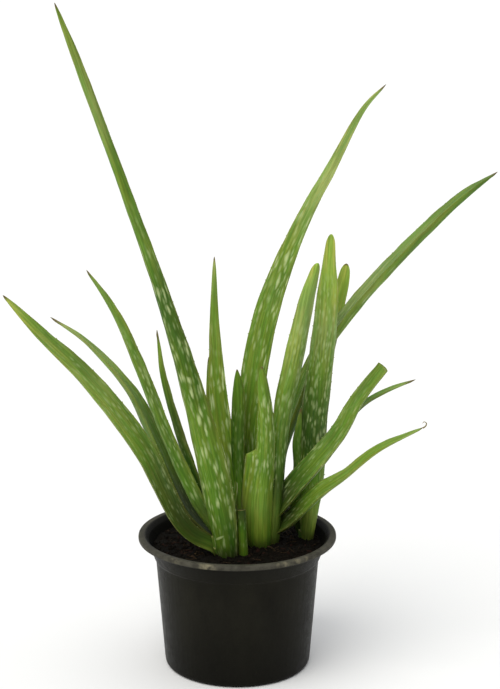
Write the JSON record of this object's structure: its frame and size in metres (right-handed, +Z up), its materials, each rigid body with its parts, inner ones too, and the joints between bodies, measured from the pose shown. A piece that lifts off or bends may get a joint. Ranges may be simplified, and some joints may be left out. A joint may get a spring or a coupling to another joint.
{
  "type": "potted aloe plant",
  "caption": "Young potted aloe: a round black nursery pot with drain holes, potting soil and short crowns with long tapering spotted leaves.",
  "frame": {"origin": "centre of the pot's underside, on its flat middle hub", "axes": "+Z up along the pot's axis, -Y towards the viewer, +X to the viewer's right"},
  "size_m": [0.289, 0.12, 0.401],
  "materials": {
    "pot_plastic": "satin black moulded plastic, dusty",
    "potting_soil": "damp potting mix with bark bits",
    "crown": "leafy stem",
    "leaf_deep": "fleshy leaf, waxy, dark green",
    "leaf": "fleshy leaf, waxy, green with pale spots",
    "leaf_bright": "fleshy leaf, waxy, yellow-green",
    "leaf_grey": "fleshy leaf, waxy, grey-green"
  },
  "bodies": {
    "root": {"pot": "pot_plastic", "soil": "potting_soil", "crown_left": "crown", "crown_centre": "crown", "crown_right": "crown", "leaf_short_front": "leaf_bright", "leaf_tall_left": "leaf", "leaf_far_left": "leaf", "leaf_mid_left": "leaf", "leaf_thin_left": "leaf_deep", "leaf_slim_left": "leaf_deep", "leaf_upright_narrow": "leaf", "leaf_small_back": "leaf_grey", "leaf_tall_arched": "leaf", "leaf_short_dark": "leaf_deep", "leaf_blunt_centre": "leaf_grey", "leaf_cut_right": "leaf", "leaf_low_right": "leaf_bright", "leaf_long_right": "leaf", "leaf_broad_right": "leaf", "leaf_blunt_back": "leaf_bright", "leaf_thread_right": "leaf_grey", "leaf_sliver_right": "leaf_bright", "leaf_stub_front": "leaf_deep"}
  },
  "joints": []
}
